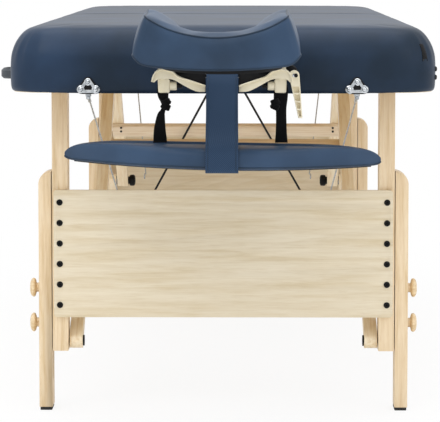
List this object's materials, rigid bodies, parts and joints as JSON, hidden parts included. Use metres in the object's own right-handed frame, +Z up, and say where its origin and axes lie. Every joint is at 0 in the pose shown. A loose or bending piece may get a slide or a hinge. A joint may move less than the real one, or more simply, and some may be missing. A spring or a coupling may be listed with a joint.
{
  "type": "folding massage table",
  "caption": "Folding massage table in two hinged halves, with braced folding legs of adjustable length, a tilting face cradle and an arm shelf.",
  "frame": {"origin": "on the floor, below the middle of the whole object's box", "axes": "+Z up, +Y along the table away from the face cradle, +X across it"},
  "size_m": [0.817, 2.1278, 0.7424],
  "materials": {
    "navy_vinyl": "semi-gloss vinyl",
    "navy_webbing": "woven",
    "black_webbing": "woven",
    "plywood": "sanded",
    "panel_beech": "lacquered",
    "beech": "lacquered",
    "black_plastic": "moulded",
    "foot_rubber": "moulded",
    "cream_plastic": "moulded",
    "handle_plastic": "moulded",
    "black_cord": "braided",
    "steel_cable": "stranded",
    "chrome_steel": "polished"
  },
  "bodies": {
    "near_frame": {"near_cushion": "navy_vinyl", "near_deck": "plywood", "near_rails": "beech", "near_leg_hinges": "chrome_steel", "near_brace_hinges": "chrome_steel", "near_cable_brackets": "chrome_steel", "near_fold_hinges": "chrome_steel", "carry_handle": "handle_plastic", "near_cables": "steel_cable"},
    "far_frame": {"far_cushion": "navy_vinyl", "far_deck": "plywood", "far_rails": "beech", "far_leg_hinges": "chrome_steel", "far_brace_hinges": "chrome_steel", "far_cable_brackets": "chrome_steel", "far_fold_hinges": "chrome_steel", "far_cables": "steel_cable", "leg_cords": "black_cord"},
    "near_legs": {"near_posts": "beech", "near_panel": "panel_beech", "near_leg_screws": "black_plastic"},
    "near_lower_brace": {"near_lower_struts": "beech", "near_knee_bolts": "chrome_steel"},
    "near_upper_brace": {"near_upper_struts": "beech", "near_crossbar": "beech", "near_knee_knobs": "black_plastic"},
    "near_left_leg_board": {"near_left_board": "beech", "near_left_foot": "foot_rubber"},
    "near_left_lower_knob_turn": {"near_left_lower_knob": "beech"},
    "near_left_upper_knob_turn": {"near_left_upper_knob": "beech"},
    "near_right_leg_board": {"near_right_board": "beech", "near_right_foot": "foot_rubber"},
    "near_right_lower_knob_turn": {"near_right_lower_knob": "beech"},
    "near_right_upper_knob_turn": {"near_right_upper_knob": "beech"},
    "far_legs": {"far_posts": "beech", "far_panel": "panel_beech", "far_leg_screws": "black_plastic"},
    "far_lower_brace": {"far_lower_struts": "beech", "far_knee_bolts": "chrome_steel"},
    "far_upper_brace": {"far_upper_struts": "beech", "far_crossbar": "beech", "far_knee_knobs": "black_plastic"},
    "far_left_leg_board": {"far_left_board": "beech", "far_left_foot": "foot_rubber"},
    "far_left_lower_knob_turn": {"far_left_lower_knob": "beech"},
    "far_left_upper_knob_turn": {"far_left_upper_knob": "beech"},
    "far_right_leg_board": {"far_right_board": "beech", "far_right_foot": "foot_rubber"},
    "far_right_lower_knob_turn": {"far_right_lower_knob": "beech"},
    "far_right_upper_knob_turn": {"far_right_upper_knob": "beech"},
    "face_cradle": {"cradle_rods": "chrome_steel", "cradle_base": "cream_plastic", "black_straps": "black_webbing", "middle_strap": "navy_webbing", "shelf_board": "beech", "shelf_cushion": "navy_vinyl"},
    "cradle_head": {"cradle_arms": "cream_plastic", "cradle_plate": "black_plastic", "face_pillow": "navy_vinyl"},
    "cradle_lever": {"cam_lever": "cream_plastic"}
  },
  "joints": [
    {"name": "centre_fold", "type": "hinge", "parent": "near_frame", "child": "far_frame", "pos_m": [0.0275, 0.13493, 0.592], "axis": [-1, 0, 0], "range_deg": [0, 80]},
    {"name": "near_leg_fold", "type": "hinge", "parent": "near_frame", "child": "near_legs", "pos_m": [0.0275, -0.60307, 0.62], "axis": [1, 0, 0], "range_deg": [0, 90]},
    {"name": "near_lower_brace_fold", "type": "hinge", "parent": "near_legs", "child": "near_lower_brace", "pos_m": [0.0275, -0.60307, 0.127], "axis": [1, 0, 0], "range_deg": [0, 55]},
    {"name": "near_upper_brace_fold", "type": "hinge", "parent": "near_frame", "child": "near_upper_brace", "pos_m": [0.0275, 0.09293, 0.62], "axis": [1, 0, 0], "range_deg": [-36, 0], "deforming": ["near_cables"]},
    {"name": "near_left_leg_length", "type": "slide", "parent": "near_legs", "child": "near_left_leg_board", "axis": [0, 0, -1], "range_m": [-0.1, 0.09]},
    {"name": "near_left_lower_knob_spin", "type": "hinge", "parent": "near_legs", "child": "near_left_lower_knob_turn", "pos_m": [-0.3175, -0.60307, 0.161], "axis": [1, 0, 0], "continuous": true},
    {"name": "near_left_upper_knob_spin", "type": "hinge", "parent": "near_legs", "child": "near_left_upper_knob_turn", "pos_m": [-0.3175, -0.60307, 0.226], "axis": [1, 0, 0], "continuous": true},
    {"name": "near_right_leg_length", "type": "slide", "parent": "near_legs", "child": "near_right_leg_board", "axis": [0, 0, -1], "range_m": [-0.1, 0.09]},
    {"name": "near_right_lower_knob_spin", "type": "hinge", "parent": "near_legs", "child": "near_right_lower_knob_turn", "pos_m": [0.3725, -0.60307, 0.161], "axis": [1, 0, 0], "continuous": true},
    {"name": "near_right_upper_knob_spin", "type": "hinge", "parent": "near_legs", "child": "near_right_upper_knob_turn", "pos_m": [0.3725, -0.60307, 0.226], "axis": [1, 0, 0], "continuous": true},
    {"name": "far_leg_fold", "type": "hinge", "parent": "far_frame", "child": "far_legs", "pos_m": [0.0275, 0.87293, 0.62], "axis": [-1, 0, 0], "range_deg": [0, 90], "deforming": ["leg_cords"]},
    {"name": "far_lower_brace_fold", "type": "hinge", "parent": "far_legs", "child": "far_lower_brace", "pos_m": [0.0275, 0.87293, 0.127], "axis": [-1, 0, 0], "range_deg": [0, 55]},
    {"name": "far_upper_brace_fold", "type": "hinge", "parent": "far_frame", "child": "far_upper_brace", "pos_m": [0.0275, 0.17693, 0.62], "axis": [-1, 0, 0], "range_deg": [-36, 0], "deforming": ["far_cables"]},
    {"name": "far_left_leg_length", "type": "slide", "parent": "far_legs", "child": "far_left_leg_board", "axis": [0, 0, -1], "range_m": [-0.1, 0.09]},
    {"name": "far_left_lower_knob_spin", "type": "hinge", "parent": "far_legs", "child": "far_left_lower_knob_turn", "pos_m": [-0.3175, 0.87293, 0.161], "axis": [1, 0, 0], "continuous": true},
    {"name": "far_left_upper_knob_spin", "type": "hinge", "parent": "far_legs", "child": "far_left_upper_knob_turn", "pos_m": [-0.3175, 0.87293, 0.226], "axis": [1, 0, 0], "continuous": true},
    {"name": "far_right_leg_length", "type": "slide", "parent": "far_legs", "child": "far_right_leg_board", "axis": [0, 0, -1], "range_m": [-0.1, 0.09]},
    {"name": "far_right_lower_knob_spin", "type": "hinge", "parent": "far_legs", "child": "far_right_lower_knob_turn", "pos_m": [0.3725, 0.87293, 0.161], "axis": [1, 0, 0], "continuous": true},
    {"name": "far_right_upper_knob_spin", "type": "hinge", "parent": "far_legs", "child": "far_right_upper_knob_turn", "pos_m": [0.3725, 0.87293, 0.226], "axis": [1, 0, 0], "continuous": true},
    {"name": "cradle_slide", "type": "slide", "parent": "near_frame", "child": "face_cradle", "axis": [0, -1, 0], "range_m": [0, 0.16]},
    {"name": "cradle_tilt", "type": "hinge", "parent": "face_cradle", "child": "cradle_head", "pos_m": [0.0275, -0.85807, 0.632], "axis": [1, 0, 0], "range_deg": [-10, 30]},
    {"name": "cam_lever_turn", "type": "hinge", "parent": "face_cradle", "child": "cradle_lever", "pos_m": [0.1521, -0.86407, 0.632], "axis": [0, -1, 0], "range_deg": [0, 100]}
  ],
  "couplings": [
    {"joint": "near_lower_brace_fold", "follows": "near_leg_fold", "ratio": 0.60765},
    {"joint": "near_upper_brace_fold", "follows": "near_leg_fold", "ratio": -0.39235},
    {"joint": "far_lower_brace_fold", "follows": "far_leg_fold", "ratio": 0.60765},
    {"joint": "far_upper_brace_fold", "follows": "far_leg_fold", "ratio": -0.39235}
  ]
}
